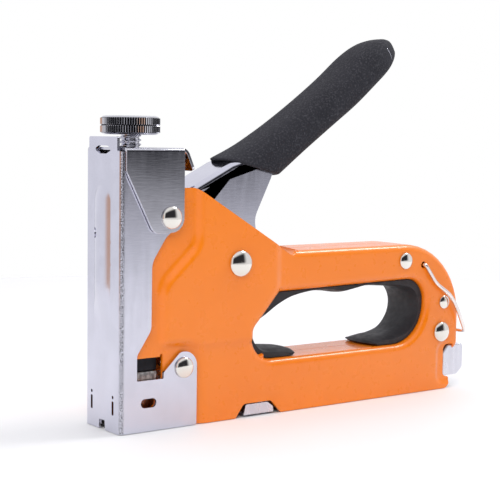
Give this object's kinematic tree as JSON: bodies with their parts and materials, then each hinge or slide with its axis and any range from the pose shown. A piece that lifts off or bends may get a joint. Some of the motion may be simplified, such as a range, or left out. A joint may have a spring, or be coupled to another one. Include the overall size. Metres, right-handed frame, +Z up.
{
  "type": "staple gun",
  "caption": "Hand-squeezed staple gun with pressed steel housing, sheet metal nose, padded squeeze lever, knurled impact adjuster and rear-loading magazine.",
  "frame": {"origin": "centre of the overall box in plan, on the plane that the base rests on", "axes": "+Z up, +X from the nose towards the rear of the handle, Y across the width"},
  "size_m": [0.1658, 0.0306, 0.1406],
  "materials": {
    "orange_paint": "gloss",
    "chrome": "bright plated",
    "steel": "polished",
    "black_steel": "black oxide",
    "bumper": "matt",
    "rubber": "matt",
    "foam": "fine grained"
  },
  "bodies": {
    "housing": {"housing_left": "orange_paint", "housing_right": "orange_paint", "nose_cover": "chrome", "top_bracket": "chrome", "screw_nut": "steel", "main_spring": "steel", "striker_bumper": "bumper", "lever_return_spring": "steel", "lever_pivot": "steel", "rivet_front_top": "steel", "rivet_front_bottom": "steel", "rivet_rear_top": "steel", "rivet_rear_middle": "steel", "rivet_rear_bottom": "steel", "spacer_rear_top": "steel", "spacer_rear_bottom": "steel", "magazine_channel": "chrome", "grip_insert": "rubber"},
    "lever": {"lever_channel": "chrome", "lever_inner": "chrome", "lifting_hook": "steel", "lever_grip": "foam"},
    "striker": {"striker": "black_steel", "driver_blade": "steel"},
    "seat": {"spring_seat": "steel"},
    "knob": {"adjust_knob": "chrome"},
    "magazine": {"staple_rail": "steel", "magazine_end_cap": "chrome", "pusher_rod": "steel", "pusher_spring": "steel"},
    "pusher": {"staple_pusher": "steel"},
    "latch": {"latch_wire": "steel"}
  },
  "joints": [
    {"name": "lever_press", "type": "hinge", "parent": "housing", "child": "lever", "pos_m": [-0.0323, 0, 0.0561], "axis": [0, 1, 0], "range_deg": [0, 38], "stiffness_Nm_per_rad": 0.6, "springref_deg": -14.32, "deforming": ["main_spring", "lever_return_spring"]},
    {"name": "striker_lift", "type": "slide", "parent": "housing", "child": "striker", "axis": [0, 0, 1], "range_m": [0, 0.0243]},
    {"name": "seat_travel", "type": "slide", "parent": "housing", "child": "seat", "axis": [0, 0, 1], "range_m": [-0.00063, 0.00375], "deforming": ["main_spring"]},
    {"name": "knob_turn", "type": "hinge", "parent": "seat", "child": "knob", "pos_m": [-0.0705, 0, 0.1012], "axis": [0, 0, 1], "range_deg": [-181, 1081]},
    {"name": "magazine_slide", "type": "slide", "parent": "housing", "child": "magazine", "axis": [1, 0, 0], "range_m": [0, 0.11]},
    {"name": "pusher_slide", "type": "slide", "parent": "magazine", "child": "pusher", "axis": [1, 0, 0], "range_m": [0, 0.095], "stiffness_N_per_m": 40, "springref_m": -0.02, "deforming": ["pusher_spring"]},
    {"name": "latch_swing", "type": "hinge", "parent": "housing", "child": "latch", "pos_m": [0.0585, 0, 0.0512], "axis": [0, -1, 0], "range_deg": [0, 110]}
  ],
  "couplings": [
    {"joint": "striker_lift", "follows": "lever_press", "m_per_rad": 0.0365},
    {"joint": "knob_turn", "follows": "seat_travel", "rad_per_m": 5026.5}
  ]
}
